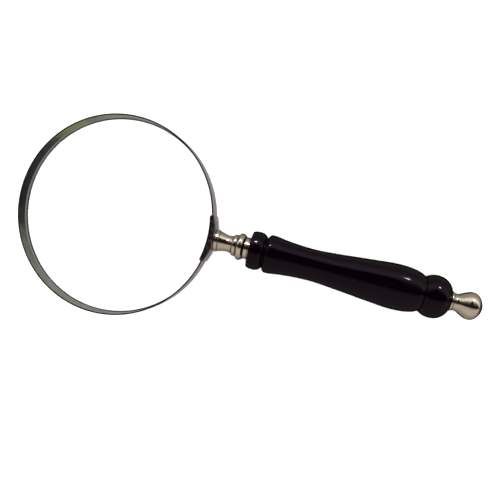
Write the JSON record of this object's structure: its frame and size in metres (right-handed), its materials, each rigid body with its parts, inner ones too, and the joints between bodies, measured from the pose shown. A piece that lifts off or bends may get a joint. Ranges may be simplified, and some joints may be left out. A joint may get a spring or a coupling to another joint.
{
  "type": "handled reading glass",
  "caption": "Round hand lens in a thin plated metal rim, on a turned metal neck and a turned black wooden handle that ends in a metal finial.",
  "frame": {"origin": "centre of the rim, on the lens axis, halfway between the rim's two edges", "axes": "+X along the handle, away from the lens; +Z along the lens axis, towards the open side of the rim; the object is flattest along Z"},
  "size_m": [0.2426, 0.104, 0.023],
  "materials": {
    "lens_glass": "polished",
    "nickel_plate": "polished, slightly warm",
    "rim_plate": "polished, tarnished grey",
    "spring_wire": "dull dark",
    "blackened_metal": "satin black",
    "steel": "turned",
    "ebonised_wood": "black stain under gloss lacquer"
  },
  "bodies": {
    "root": {"lens": "lens_glass", "rim_band": "rim_plate", "lens_spring_ring": "spring_wire", "inner_strap": "blackened_metal", "saddle_plate": "rim_plate", "strap_rivets": "rim_plate", "neck_screw": "steel", "neck": "nickel_plate", "neck_collar": "nickel_plate", "handle": "ebonised_wood", "tie_rod": "steel", "finial": "nickel_plate"}
  },
  "joints": []
}
